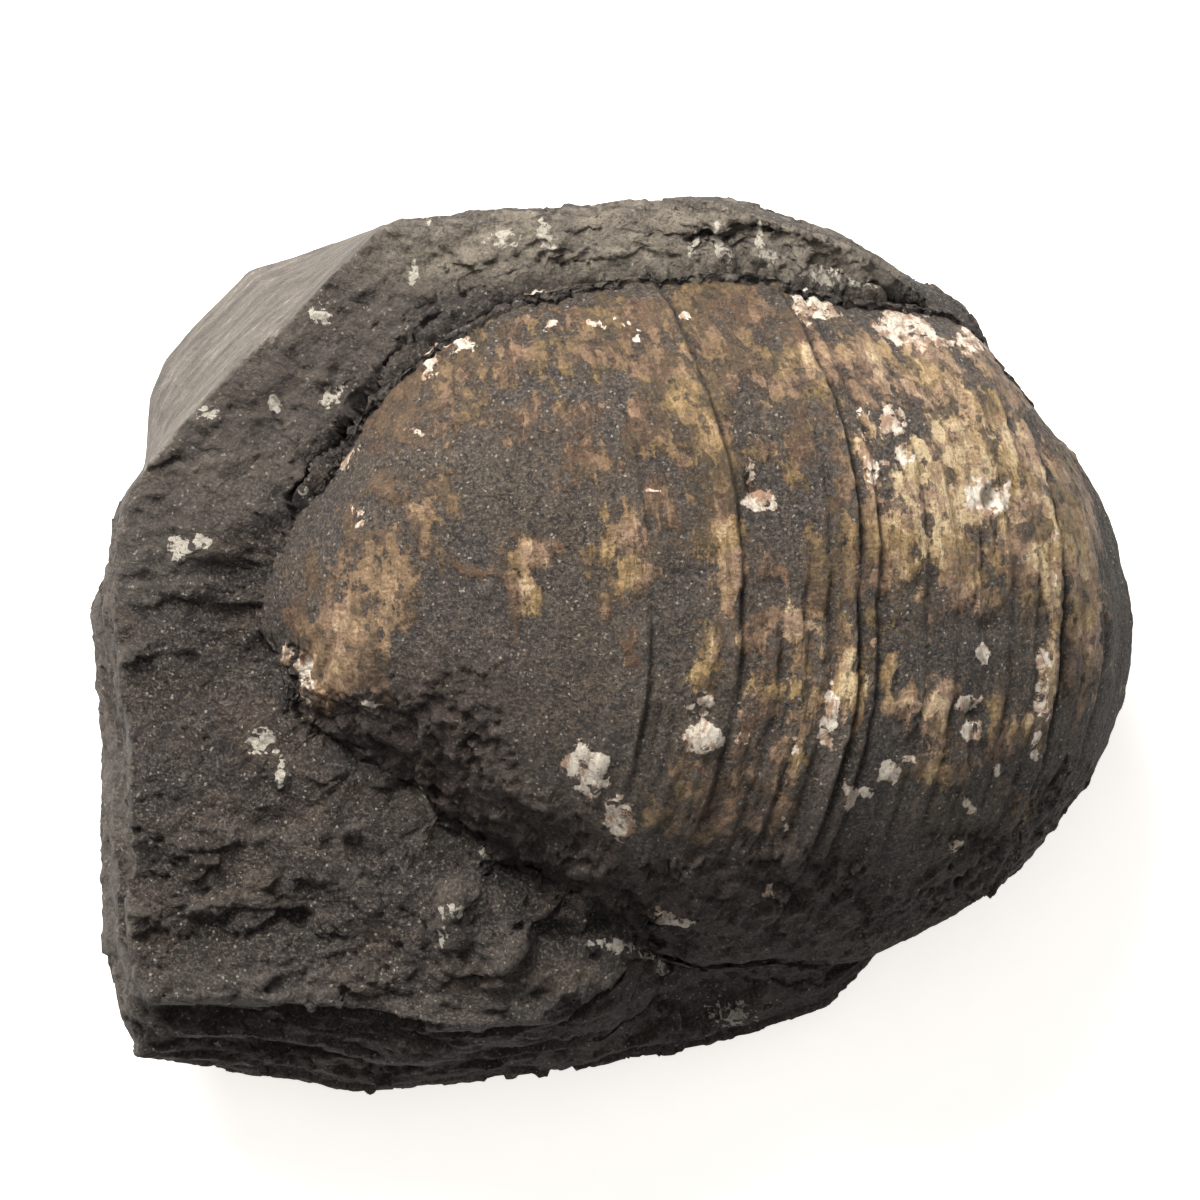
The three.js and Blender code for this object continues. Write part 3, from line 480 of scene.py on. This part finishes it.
def evaluated_mesh(source, *modifiers):
    """A new mesh: the source mesh after the given modifiers, each a kind and its settings."""
    helper = bpy.data.objects.new("helper", source)
    bpy.context.scene.collection.objects.link(helper)
    for kind, settings in modifiers:
        modifier = helper.modifiers.new(kind, kind)
        for key, value in settings.items():
            setattr(modifier, key, value)
    graph = bpy.context.evaluated_depsgraph_get()
    made = bpy.data.meshes.new_from_object(helper.evaluated_get(graph))
    bpy.data.objects.remove(helper)
    return made


def vertex_array(mesh, what):
    """The places or the normals of a mesh's points."""
    values = np.empty(3 * len(mesh.vertices), np.float32)
    mesh.vertices.foreach_get(what, values)
    return values.reshape(-1, 3).astype(float)


def rock_relief(points, normals, distance):
    """Height of the broken rock's surface over the block's plain form, and a larger copy of it that sets
    painted shade in hollows and a painted highlight on raised parts.
    """
    bedded = points + 1.2 * np.stack([fractal(points * 0.13, 61 + axis, 2) for axis in range(3)], axis=1)
    upward = step(0.35, 0.8, normals[:, 2])
    collar = step(0, 5, points[:, 1] - 0.6 * points[:, 0] - 6)
    left = step(13, 16, -points[:, 0]) * step(-9, -4, points[:, 1])
    plates = 0.38 * facets(bedded * (0.2, 0.4, 0.5), 71, 1.7)
    plates = plates + 0.30 * facets(bedded * (0.6, 0.9, 0.9), 79, 1.8)
    plates *= 1 - 0.45 * np.maximum(collar, left)
    beds = 0.6 * facets(bedded * (0.14, 0.14, 0.6), 89, 0.8) + 0.2 * facets(bedded * (0.5, 0.5, 1.3), 97)
    hackle = 0.14 * facets(points * (1.3, 1.7, 1.7), 113, 1.8)
    hackle = hackle + 0.09 * fractal(points * (2.0, 2.6, 3.0), 101, 3)
    relief = upward * plates + (1 - upward) * beds
    relief += hackle * (0.45 + 0.55 * upward)
    rings = np.cos(2.9 * distance + 2.6 * fractal(points * 0.25, 119, 2)) * np.exp(-distance / 4)
    relief += 0.16 * upward * collar * rings
    relief *= 1 - 0.93 * smooth_break_at(points, normals)
    relief += upward * marks(points, ROCK_MARKS)
    underneath = step(0.3, 0.9, -normals[:, 2])
    relief *= 1 - 0.5 * underneath
    resting = 1 - step(0.0, 0.5, points[:, 2])
    return relief * (1 - resting), 2.2 * relief


def smooth_break_at(points, normals):
    """1 on the smooth newly broken face at the upper left of the block, 0 below its ragged foot."""
    facing = step(0.25, 0.5, normals[:, 1] - normals[:, 0])
    place = step(*BREAK_EDGE, points[:, 1] - points[:, 0])
    foot = BREAK_FOOT + 2.4 * fractal(points * 0.3, 151, 3)
    steep = 1 - step(0.75, 0.92, normals[:, 2])
    return facing * place * steep * step(foot, foot + 1.6, points[:, 2])


def pale_top_where(points, normals):
    """1 on the pale top of the rock beyond the shell's upper edge."""
    return step(16.4, 18.4, points[:, 1]) * step(-15, -7, points[:, 0]) * step(0.3, 0.7, normals[:, 2])


def paleness(points, normals):
    """How pale the rock is drawn: its pale broken face, partly with a painted highlight; painted light on
    its left side; paler parts on top.
    """
    # Painted light on the block's left side, which faces the light.
    left = 0.42 * step(0.35, 0.65, -normals[:, 0]) * step(20, 22, -points[:, 0])
    upward = step(0.3, 0.7, normals[:, 2])
    collar = 0.5 * pale_top_where(points, normals)
    shoulder = 0.40 * step(21, 27, points[:, 1] - points[:, 0]) * upward
    ledge = 0.14 * step(14, 17, -points[:, 1])
    return np.maximum.reduce([smooth_break_at(points, normals), left, collar, shoulder, ledge])


def shell_tree(shell):
    """A quick finder of the nearest of the shell's points."""
    points = vertex_array(shell.data, "co")[::3] / MM
    tree = KDTree(len(points))
    for index, point in enumerate(points):
        tree.insert(point, index)
    tree.balance()
    return tree


def nearest(tree, points):
    """The nearest point of the shell to each point, and how far away it is."""
    near = [tree.find(point) for point in points]
    found = np.array([tuple(place) for place, index, distance in near])
    return found, np.array([distance for place, index, distance in near])


def banked_up(points, normals, distance):
    """The rock's top raised along the shell's edge: climbing onto it at the lower left, level beyond its
    upper edge. Also gives where the lower left is."""
    lower_left = step(0, 4, -points[:, 1] - 0.5 * points[:, 0] - 1) * (1 - step(6, 11, points[:, 0]))
    climb = (CLIMB + 1.0 * fractal(points * 0.22, 139, 2)) * np.exp(-((distance / CLIMB_REACH) ** 2))
    above = step(3.5, 8, points[:, 1]) * (1 - step(4, 6, distance))
    top = np.interp(points[:, 0], *np.transpose(COLLAR_TOP)) + 0.5 * np.clip(1 - distance / 3, 0, 1)
    level = np.clip(top + 0.3 * noise(points * 0.3, 149) - points[:, 2], 0, None)
    raised = points.copy()
    raised[:, 2] += step(0.2, 0.6, normals[:, 2]) * (lower_left * climb + above * level)
    return raised, lower_left


def meet_shell(points, found, distance, reach):
    """Moves the rock close to the shell against it, so that the two are grown together."""
    pull = 1 - step(reach, 1.8 * reach, distance + 0.25 * noise(points * 0.8, 131))
    away = (points - found) / np.maximum(distance, 1e-6)[:, None]
    return points - away * (pull * (distance + GROWN_DEPTH))[:, None]


def make_rock(shell):
    """The block: the frame's solid, remeshed fine, broken up, and drawn against the shell."""
    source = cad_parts["matrix_block"].data.copy()
    source.transform(MILLIMETRES)
    fine = evaluated_mesh(
        source,
        ("REMESH", {"mode": "VOXEL", "voxel_size": ROCK_VOXEL}),
        ("SMOOTH", {"factor": 0.6, "iterations": 8}),
    )
    points, normals = vertex_array(fine, "co"), vertex_array(fine, "normal")
    tree = shell_tree(shell)
    _, distance = nearest(tree, points)
    raised, lower_left = banked_up(points, normals, distance)
    found, distance = nearest(tree, raised)
    met = meet_shell(raised, found, distance, GROWN_REACH + 1.7 * lower_left)
    relief, relief_shade = rock_relief(met, normals, distance)
    met += normals * (relief * step(0.2, 1.2 - 0.5 * lower_left, distance))[:, None]
    met[:, 2] = np.maximum(met[:, 2], 0)
    fine.vertices.foreach_set("co", met.astype(np.float32).ravel())
    # The relief, made larger, sets painted shade in hollows and a painted highlight on raised parts.
    store_field(fine, "relief_shade", relief_shade)
    kept = ROCK_TRIANGLES / (2 * len(fine.polygons))
    thin = evaluated_mesh(fine, ("DECIMATE", {"ratio": kept}))
    points, normals = vertex_array(thin, "co"), vertex_array(thin, "normal")
    faces = [list(polygon.vertices) for polygon in thin.polygons]
    fields = {"white": patch_field(points, ROCK_CHIPS), "pale_and_lit": paleness(points, normals)}
    fields["white"] = np.where(normals[:, 2] > 0, fields["white"], -1)
    fields["pale_top"] = pale_top_where(points, normals)
    fields["relief_shade"] = np.empty(len(points), np.float32)
    thin.attributes["relief_shade"].data.foreach_get("value", fields["relief_shade"])
    return make_object("matrix_block_visual", points, faces, fields)


def linear(red, green, blue):
    """A colour given as screen values from 0 to 255."""
    screen = [value / 255 for value in (red, green, blue)]
    return tuple(c / 12.92 if c <= 0.04045 else ((c + 0.055) / 1.055) ** 2.4 for c in screen) + (1.0,)


# Colours of the rock.
ROCK_BROWN = linear(59, 48, 44)
ROCK_GREY = linear(58, 53, 53)
ROCK_DARK = linear(28, 23, 22)
ROCK_RUST = linear(76, 58, 44)
# Painted shade for hollows and a painted highlight for raised edges.
HOLLOW_SHADE = linear(26, 22, 20)
EDGE_HIGHLIGHT = linear(120, 110, 100)
DARK_GRAIN = linear(18, 16, 15)
PALE_GRAIN = linear(128, 116, 103)
PALE_GRIT = linear(132, 120, 107)
SPARK = linear(206, 196, 180)
# The broken face's pale grey, partly its own colour and partly a painted highlight, also used as painted
# light on the rock's left side.
PALE_AND_LIT_DARK = linear(82, 75, 69)
PALE_AND_LIT_PALE = linear(122, 113, 103)
PALE_AND_LIT_STREAK = linear(178, 170, 160)
FRESH_SPECK = linear(58, 53, 50)
# Paler colour for the rock's top beyond the shell's upper edge.
PALE_TOP_COLOUR = linear(160, 149, 132)
ROCK_CALCITE = linear(208, 199, 184)
# Colours of the shell and of the mould under it.
MOULD_GREY = linear(71, 63, 59)
MOULD_BROWN = linear(90, 76, 62)
MOULD_DARK = linear(40, 36, 35)
# Reddish dark for the stuck rock: partly its own colour, partly painted shade on the shell's lower flank.
STUCK_SHADE_AND_TINT = linear(62, 43, 34)
OLIVE_DARK, PINKISH_DARK = linear(80, 64, 42), linear(88, 64, 46)
OLIVE_MIDDLE, PINKISH_MIDDLE = linear(122, 98, 62), linear(128, 101, 78)
OLIVE_LIGHT, PINKISH_LIGHT = linear(162, 133, 88), linear(162, 132, 108)
CREAM = linear(208, 184, 144)
SHELL_SPECK = linear(52, 43, 33)
SHELL_GLINT = linear(190, 170, 140)
# Painted shade in the grooves behind the growth lines.
GROOVE_SHADE = linear(28, 24, 22)
CALCITE_RIM = linear(172, 138, 112)
CALCITE = linear(236, 226, 210)
CALCITE_CRACK = linear(112, 88, 68)
# Colours of the ground, as amounts of light.
PAPER_DARK = (0.80, 0.79, 0.78, 1)
PAPER_PALE = (0.84, 0.83, 0.82, 1)
PAPER_GLOW = (1, 0.96, 0.91, 1)


class Shader:
    """A material's node tree, built by short calls that take sockets or values."""

    def __init__(self, name):
        self.material = bpy.data.materials.new(name)
        self.material.use_nodes = True
        self.tree = self.material.node_tree
        self.tree.nodes.clear()

    def node(self, kind, inputs=(), **settings):
        """A new node with its inputs set or linked."""
        made = self.tree.nodes.new(kind)
        for key, value in settings.items():
            setattr(made, key, value)
        for key, value in dict(inputs).items():
            if isinstance(value, bpy.types.NodeSocket):
                self.tree.links.new(value, made.inputs[key])
            else:
                made.inputs[key].default_value = value
        return made

    def math(self, operation, a, b=0.0, c=0.0):
        return self.node("ShaderNodeMath", {0: a, 1: b, 2: c}, operation=operation).outputs[0]

    def times(self, a, b):
        return self.math("MULTIPLY", a, b)

    def plus(self, base, value, weight=1.0):
        """The base with the weighted value added."""
        return self.math("MULTIPLY_ADD", value, weight, base)

    def mix(self, factor, a, b):
        return self.node("ShaderNodeMix", {0: factor, 6: a, 7: b}, data_type="RGBA").outputs[2]

    def tint(self, colour, where, strength, target):
        """The colour drawn towards the target, by the strength where the first number is 1."""
        return self.mix(self.times(where, strength), colour, target)

    def place(self, scale):
        """Position in millimetres, stretched."""
        spot = self.node("ShaderNodeTexCoord").outputs["Object"]
        return self.stretch(spot, [s / MM for s in scale])

    def stretch(self, vector, scale):
        return self.node("ShaderNodeMapping", {"Vector": vector, "Scale": scale}).outputs[0]

    def turned(self, vector, degrees):
        turn = (0, 0, math.radians(degrees))
        return self.node("ShaderNodeMapping", {"Vector": vector, "Rotation": turn}).outputs[0]

    def noise(self, vector, scale, detail=3.0, rough=0.55):
        inputs = {"Vector": vector, "Scale": scale, "Detail": detail, "Roughness": rough}
        return self.node("ShaderNodeTexNoise", inputs).outputs["Fac"]

    def cells(self, vector, scale):
        """A random number for each cell of a pattern of broken pieces."""
        piece = self.node("ShaderNodeTexVoronoi", {"Vector": vector, "Scale": scale}).outputs["Position"]
        return self.node("ShaderNodeTexWhiteNoise", {"Vector": piece}).outputs["Value"]

    def jumbled(self, vector, size):
        """The vector shifted about at random, which makes straight borders ragged."""
        inputs = {"Vector": vector, "Scale": 2.2, "Detail": 4.0}
        shift = self.node("ShaderNodeTexNoise", inputs).outputs["Color"]
        inputs = {0: shift, 1: (size, size, size), 2: vector}
        return self.node("ShaderNodeVectorMath", inputs, operation="MULTIPLY_ADD").outputs[0]

    def crumbs(self, vector, scale):
        """Heights of small rounded lumps."""
        away = self.node("ShaderNodeTexVoronoi", {"Vector": vector, "Scale": scale}).outputs["Distance"]
        return self.math("SUBTRACT", 1.0, away)

    def ramp(self, value, low, high):
        """0 at low, 1 at high, smooth between."""
        inputs = {"Value": value, "From Min": low, "From Max": high}
        return self.node("ShaderNodeMapRange", inputs, interpolation_type="SMOOTHSTEP").outputs[0]

    def field(self, name, kind="Fac"):
        """A named number of the mesh."""
        return self.node("ShaderNodeAttribute", attribute_name=name).outputs[kind]

    def bump(self, height, distance):
        inputs = {"Height": height, "Distance": distance * MM, "Strength": 1.0}
        return self.node("ShaderNodeBump", inputs).outputs[0]

    def finish(self, inputs):
        """The finished material."""
        surface = self.node("ShaderNodeBsdfPrincipled", inputs)
        self.node("ShaderNodeOutputMaterial", {"Surface": surface.outputs[0]})
        return self.material


def shaded(s, colour):
    """The colour with painted shade in hollows and a painted highlight on raised edges."""
    relief_shade = s.field("relief_shade")
    colour = s.tint(colour, s.ramp(relief_shade, 0.1, -0.9), 0.65, HOLLOW_SHADE)
    return s.tint(colour, s.ramp(relief_shade, 0.1, 1.2), 0.35, EDGE_HIGHLIGHT)


def sanded(s, colour, place, grit):
    """The colour with pale and dark grains of sand, and a few that glint."""
    grain = s.cells(place, 8.0)
    colour = s.tint(colour, s.ramp(grain, 0.35, 0.0), 0.55, DARK_GRAIN)
    colour = s.tint(colour, s.ramp(grain, 0.72, 0.95), 0.30, PALE_GRAIN)
    colour = s.tint(colour, s.ramp(grit, 0.50, 0.66), 0.8, PALE_GRIT)
    return s.tint(colour, s.ramp(s.cells(place, 9.5), 0.982, 0.994), 0.5, SPARK)


def rock_colour(s, place, fine, grit):
    """Dark gritty rock, browner and greyer by turns."""
    broad = s.noise(s.place((0.14, 0.2, 0.3)), 1.0, 4)
    colour = s.mix(s.ramp(broad, 0.35, 0.65), ROCK_BROWN, ROCK_GREY)
    colour = s.mix(s.ramp(fine, 0.36, 0.60), ROCK_DARK, colour)
    rust = s.noise(s.place((0.3, 0.4, 0.4)), 1.0, 5, 0.6)
    colour = s.tint(colour, s.ramp(rust, 0.48, 0.66), 0.5, ROCK_RUST)
    return sanded(s, shaded(s, colour), place, grit)


def pale_and_lit_colour(s, place, grit):
    """Pale grey with fine slanting streaks: the broken face's own colour, partly a painted highlight, and
    painted light on the left side.
    """
    streaks = s.noise(s.stretch(s.turned(place, -46), (0.25, 1.5, 1.1)), 0.9, 9, 0.82)
    colour = s.mix(s.ramp(streaks, 0.40, 0.60), PALE_AND_LIT_DARK, PALE_AND_LIT_PALE)
    colour = s.tint(colour, s.ramp(streaks, 0.57, 0.66), 0.8, PALE_AND_LIT_STREAK)
    return s.tint(colour, s.ramp(grit, 0.53, 0.66), 0.6, FRESH_SPECK)


def rock_material():
    """Dark shaly rock with white chips, a pale broken face partly with a painted highlight, painted light
    on its left side and a paler top.
    """
    s = Shader("shaly_rock")
    place = s.place((1, 1, 1))
    fine = s.noise(place, 2.6, 6, 0.74)
    grit = s.noise(place, 6.0, 4, 0.8)
    pale_and_lit = s.field("pale_and_lit")
    colour = rock_colour(s, place, fine, grit)
    # The pale broken face, partly a painted highlight, and painted light on the left side.
    colour = s.tint(colour, pale_and_lit, s.ramp(fine, 0.2, 0.45), pale_and_lit_colour(s, place, grit))

    # Paler in clouds on the rock's top beyond the shell's upper edge.
    cloudy = s.plus(0.26, s.ramp(s.noise(place, 0.8, 7, 0.75), 0.38, 0.62), 0.6)
    pale_top = s.times(s.field("pale_top"), cloudy)
    colour = s.tint(colour, pale_top, s.ramp(grit, 0.34, 0.50), PALE_TOP_COLOUR)

    ragged = s.plus(s.plus(-2.1, fine, 1.2), s.noise(place, 1.8, 6, 0.7), 2.2)
    ragged = s.plus(ragged, s.cells(place, 3.2), 0.7)
    chips = s.ramp(s.math("ADD", s.field("white"), ragged), 0.0, 0.15)
    colour = s.tint(colour, chips, s.ramp(grit, 0.3, 0.5), ROCK_CALCITE)

    rough = s.plus(0.45, grit, 0.4)
    height = s.plus(s.times(grit, 0.5), fine, 1.2)
    height = s.plus(height, s.crumbs(place, 1.9), 0.5)
    height = s.plus(height, pale_and_lit, s.times(height, -0.45))
    return s.finish({"Base Color": colour, "Roughness": rough, "Normal": s.bump(height, 0.4)})


def mould_colour(s, place, fine, grit):
    """The dark gritty mould where the shell has come off."""
    colour = s.mix(s.ramp(s.noise(place, 0.22, 4), 0.35, 0.65), MOULD_GREY, MOULD_BROWN)
    colour = s.mix(s.ramp(fine, 0.36, 0.60), MOULD_DARK, colour)
    return sanded(s, shaded(s, colour), place, grit)


def bare_colour(s, place, fine, grit, stuck):
    """The mould, and the rock that still sticks to it, darker and redder: partly its own colour, partly
    painted shade for the lower flank.
    """
    colour = s.mix(stuck, mould_colour(s, place, fine, grit), rock_colour(s, place, fine, grit))
    # Painted shade with a reddish tint where rock still sticks to the shell.
    return s.tint(colour, stuck, 0.42, STUCK_SHADE_AND_TINT)


def brown_colour(s, tone, hue, grit):
    """The shell, from dark brown by way of tan to cream, olive and pinkish by turns."""
    dark = s.mix(hue, OLIVE_DARK, PINKISH_DARK)
    middle = s.mix(hue, OLIVE_MIDDLE, PINKISH_MIDDLE)
    light = s.mix(hue, OLIVE_LIGHT, PINKISH_LIGHT)
    colour = s.mix(s.ramp(tone, 0.1, 0.45), dark, middle)
    colour = s.mix(s.ramp(tone, 0.55, 0.9), colour, light)
    colour = s.mix(s.ramp(tone, 0.95, 1.35), colour, CREAM)
    colour = s.tint(colour, s.ramp(grit, 0.50, 0.34), 0.5, SHELL_SPECK)
    return s.tint(colour, s.ramp(grit, 0.52, 0.75), 0.4, SHELL_GLINT)


def chipped(s, colour, place, fine):
    """The colour with white calcite chips that have a tan rim and fine cracks."""
    ragged = s.plus(s.plus(-1.42, fine, 0.5), s.noise(place, 1.1, 6, 0.65), 1.4)
    ragged = s.plus(ragged, s.cells(s.jumbled(place, 0.5), 2.4), 0.55)
    ragged = s.math("ADD", s.field("white"), ragged)
    streaks = s.noise(s.stretch(place, (1.6, 0.6, 1.0)), 1.0, 6, 0.7)
    inner = s.times(s.ramp(streaks, 0.38, 0.54), s.ramp(ragged, 0.0, 0.22))
    calcite = s.mix(inner, CALCITE_RIM, CALCITE)
    calcite = s.tint(calcite, s.ramp(fine, 0.46, 0.36), 0.6, CALCITE_CRACK)
    return s.mix(s.ramp(ragged, 0.0, 0.08), colour, calcite)


def shell_material():
    """Dark mould with the shell left on it in brown patches, banded by growth, and white chips."""
    s = Shader("fossil_shell")
    place = s.place((1, 1, 1))
    growth = s.field("growth", "Vector")
    young = s.ramp(s.node("ShaderNodeSeparateXYZ", {0: growth}).outputs["X"], -3.0, -11.0)
    swirl = s.noise(s.stretch(place, (0.9, 0.45, 0.6)), 1.0, 6, 0.72)
    bands = s.noise(s.stretch(growth, (2.4, 0.2, 0.2)), 1.0, 6, 0.72)
    bands = s.plus(bands, young, s.math("SUBTRACT", swirl, bands))
    ribs = s.noise(s.stretch(growth, (0.4, 3.4, 1.2)), 1.0, 2, 0.5)
    mottle = s.noise(s.stretch(growth, (1.3, 0.8, 1.0)), 1.0, 8, 0.78)
    flakes = s.cells(s.jumbled(s.stretch(growth, (1.7, 1.0, 1.1)), 0.7), 1.0)
    hue = s.math("MAXIMUM", s.ramp(s.noise(place, 0.35, 4, 0.6), 0.4, 0.6), s.times(young, 0.6))
    fine = s.noise(place, 2.8, 6, 0.74)
    grit = s.noise(place, 6.0, 4, 0.8)
    stuck = s.math("MAXIMUM", s.field("stuck"), 0.0)
    colour = bare_colour(s, place, fine, grit, stuck)

    edge = s.plus(s.plus(-2.45, bands, 1.3), mottle, 3.6)
    edge = s.plus(s.math("ADD", edge, -0.85), flakes, 0.7)
    patch = s.math("ADD", s.field("brown"), s.plus(edge, fine, 1.0))
    holes = s.times(s.ramp(s.crumbs(place, 1.4), 0.64, 0.76), s.ramp(s.cells(place, 1.4), 0.42, 0.36))
    shell = s.ramp(s.plus(patch, holes, -0.8), -0.04, 0.06)

    tone = s.plus(s.plus(-2.1, fine, 1.6), bands, 1.6)
    tone = s.plus(s.plus(s.math("ADD", tone, -0.35), mottle, 1.8), flakes, 0.7)
    tone = s.plus(tone, s.math("MAXIMUM", s.field("tan"), -0.4), 0.9)
    tone = s.plus(tone, young, -0.34)
    brown = brown_colour(s, tone, hue, grit)
    colour = s.tint(colour, s.ramp(patch, -0.6, 0.1), 0.42, brown)
    colour = s.tint(colour, shell, s.plus(0.5, s.ramp(grit, 0.3, 0.5), 0.4), brown)
    # Painted shade in the grooves behind the growth lines.
    colour = s.tint(colour, s.field("groove"), 0.8, GROOVE_SHADE)
    colour = chipped(s, colour, place, fine)

    rough = s.plus(s.plus(0.56, grit, 0.3), shell, -0.2)
    height = s.plus(s.times(grit, 0.55), fine, 1.1)
    height = s.plus(height, s.times(s.crumbs(place, 1.9), stuck), 0.9)
    height = s.plus(height, shell, s.times(height, -0.45))
    height = s.plus(height, s.times(ribs, shell), 0.25)
    height = s.plus(s.plus(height, shell, 0.35), bands, 0.5)
    return s.finish({"Base Color": colour, "Roughness": rough, "Normal": s.bump(height, 0.32)})


def floor_material():
    """White paper; the glow stands for the photograph's over-exposed ground and lights nothing else."""
    s = Shader("white_paper")
    grain = s.noise(s.place((1, 1, 1)), 0.6, 4)
    colour = s.mix(s.ramp(grain, 0.3, 0.7), PAPER_DARK, PAPER_PALE)
    glow = s.times(s.node("ShaderNodeLightPath").outputs["Is Camera Ray"], FLOOR_GLOW)
    return s.finish(
        {"Base Color": colour, "Roughness": 0.9, "Emission Color": PAPER_GLOW, "Emission Strength": glow}
    )


def make_floor():
    corners = [(-1, -1, 0), (1, -1, 0), (1, 1, 0), (-1, 1, 0)]
    floor = make_object("floor", FLOOR_HALF * np.array(corners) / MM, [(0, 1, 2, 3)], {})
    floor.data.materials.append(floor_material())


def make_light(name, place, size, power, colour):
    """A square soft light that faces the part."""
    light = bpy.data.lights.new(name, "AREA")
    light.size = size
    light.energy = power
    light.color = colour
    holder = bpy.data.objects.new(name, light)
    holder.location = place
    holder.rotation_mode = "QUATERNION"
    holder.rotation_quaternion = (Vector(LIGHT_TARGET) - Vector(place)).to_track_quat("-Z", "Y")
    bpy.context.scene.collection.objects.link(holder)


def make_camera():
    """The photograph's view, straight down."""
    camera = bpy.data.cameras.new("camera")
    camera.sensor_width = SENSOR
    camera.lens = SENSOR * CAMERA_DISTANCE / FRAME_WIDTH
    camera.clip_start, camera.clip_end = CLIP_START, CLIP_END
    holder = bpy.data.objects.new("camera", camera)
    holder.location = Vector(FRAME_MIDDLE) + Vector((0, 0, CAMERA_DISTANCE))
    bpy.context.scene.collection.objects.link(holder)
    bpy.context.scene.camera = holder


def make_world():
    """Weak white light from all sides, and plain colours."""
    world = bpy.data.worlds.new("studio")
    world.use_nodes = True
    background = world.node_tree.nodes["Background"]
    background.inputs["Color"].default_value = (1.0, 1.0, 1.0, 1)
    background.inputs["Strength"].default_value = WORLD_STRENGTH
    bpy.context.scene.world = world
    view = bpy.context.scene.view_settings
    view.view_transform = "Standard"
    view.look = "None"


def dress(piece, node, material):
    """Puts a piece in place of its solid."""
    piece.data.materials.append(material)
    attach(piece, "root")
    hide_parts(node)


shell = make_shell()
dress(shell, "brachiopod_valve", shell_material())
rock = make_rock(shell)
dress(rock, "matrix_block", rock_material())
make_floor()
for light in LIGHTS:
    make_light(*light)
make_camera()
make_world()
